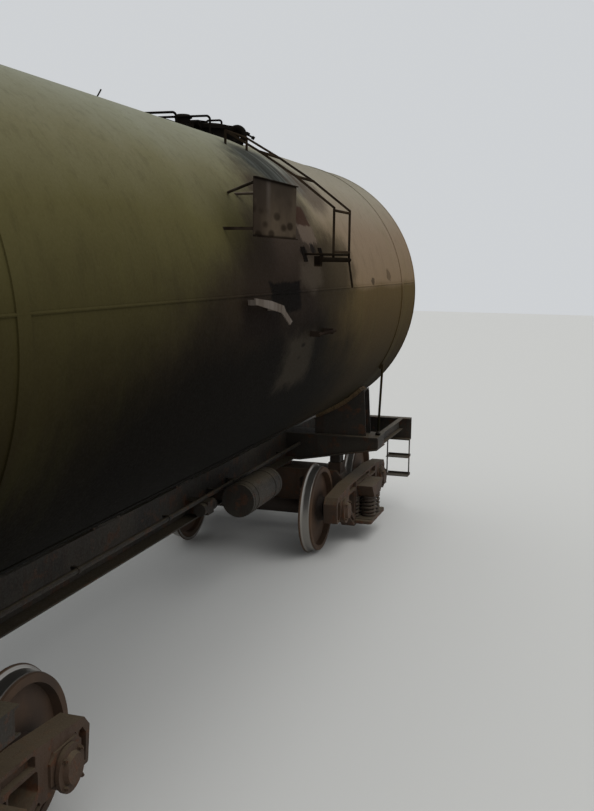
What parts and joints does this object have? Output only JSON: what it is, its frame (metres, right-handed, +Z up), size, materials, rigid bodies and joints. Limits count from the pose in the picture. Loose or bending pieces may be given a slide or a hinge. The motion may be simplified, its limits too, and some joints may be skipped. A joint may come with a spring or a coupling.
{
  "type": "railway tank car",
  "caption": "Bogie tank car: a long round tank with dished heads, top hatch and side ladders, on a centre sill frame with bogies.",
  "frame": {"origin": "under the middle of the car, at the lowest point of the wheel flanges, where the car stands on a floor", "axes": "+X along the car towards its rear end, +Y across it, +Z up; the side with the board is at -Y"},
  "size_m": [12.065, 3.415, 4.5962],
  "materials": {
    "tank_paint": "worn",
    "fitting_paint": "worn",
    "frame_paint": "worn",
    "timber": "rough",
    "cast_steel": "rough",
    "wheel_steel": "worn"
  },
  "bodies": {
    "car": {"tank_barrel": "tank_paint", "hatch_neck": "tank_paint", "hatch_clamps": "fitting_paint", "relief_valve": "tank_paint", "top_platform": "fitting_paint", "platform_rails": "fitting_paint", "near_ladder": "fitting_paint", "far_ladder": "fitting_paint", "ladder_remains": "fitting_paint", "side_board": "fitting_paint", "saddle_blocks": "timber", "tank_feet": "frame_paint", "centre_sill": "frame_paint", "side_sills": "frame_paint", "uncoupling_levers": "frame_paint", "corner_steps": "frame_paint", "drain_valve": "frame_paint", "brake_cylinder": "frame_paint", "brake_rigging": "frame_paint", "parking_brake": "frame_paint", "air_reservoir": "frame_paint", "brake_pipe": "frame_paint", "front_tank_strap": "frame_paint", "front_tank_saddle": "frame_paint", "front_bolster_beam": "frame_paint", "front_end_beam": "frame_paint", "front_coupler": "cast_steel", "rear_tank_strap": "frame_paint", "rear_tank_saddle": "frame_paint", "rear_bolster_beam": "frame_paint", "rear_end_beam": "frame_paint", "rear_coupler": "cast_steel"},
    "hatch_lid": {"hatch_lid": "tank_paint"},
    "front_bogie": {"front_bogie_side_frames": "cast_steel", "front_bogie_bolster": "cast_steel", "front_bogie_springs": "cast_steel", "front_bogie_axle_boxes": "cast_steel", "front_bogie_brake_beams": "cast_steel"},
    "front_outer_wheelset": {"front_outer_wheels": "wheel_steel", "front_outer_axle": "wheel_steel"},
    "front_inner_wheelset": {"front_inner_wheels": "wheel_steel", "front_inner_axle": "wheel_steel"},
    "rear_bogie": {"rear_bogie_side_frames": "cast_steel", "rear_bogie_bolster": "cast_steel", "rear_bogie_springs": "cast_steel", "rear_bogie_axle_boxes": "cast_steel", "rear_bogie_brake_beams": "cast_steel"},
    "rear_outer_wheelset": {"rear_outer_wheels": "wheel_steel", "rear_outer_axle": "wheel_steel"},
    "rear_inner_wheelset": {"rear_inner_wheels": "wheel_steel", "rear_inner_axle": "wheel_steel"}
  },
  "joints": [
    {"name": "hatch_lid_hinge", "type": "hinge", "parent": "car", "child": "hatch_lid", "pos_m": [1.34, 0, 4.499], "axis": [0, -1, 0], "range_deg": [0, 110]},
    {"name": "front_bogie_swivel", "type": "hinge", "parent": "car", "child": "front_bogie", "pos_m": [-3.9, 0, 0.834], "axis": [0, 0, 1], "range_deg": [-4, 4]},
    {"name": "front_outer_wheelset_spin", "type": "hinge", "parent": "front_bogie", "child": "front_outer_wheelset", "pos_m": [-4.825, 0, 0.503], "axis": [0, 1, 0], "continuous": true},
    {"name": "front_inner_wheelset_spin", "type": "hinge", "parent": "front_bogie", "child": "front_inner_wheelset", "pos_m": [-2.975, 0, 0.503], "axis": [0, 1, 0], "continuous": true},
    {"name": "rear_bogie_swivel", "type": "hinge", "parent": "car", "child": "rear_bogie", "pos_m": [3.9, 0, 0.834], "axis": [0, 0, 1], "range_deg": [-4, 4]},
    {"name": "rear_outer_wheelset_spin", "type": "hinge", "parent": "rear_bogie", "child": "rear_outer_wheelset", "pos_m": [4.825, 0, 0.503], "axis": [0, 1, 0], "continuous": true},
    {"name": "rear_inner_wheelset_spin", "type": "hinge", "parent": "rear_bogie", "child": "rear_inner_wheelset", "pos_m": [2.975, 0, 0.503], "axis": [0, 1, 0], "continuous": true}
  ]
}
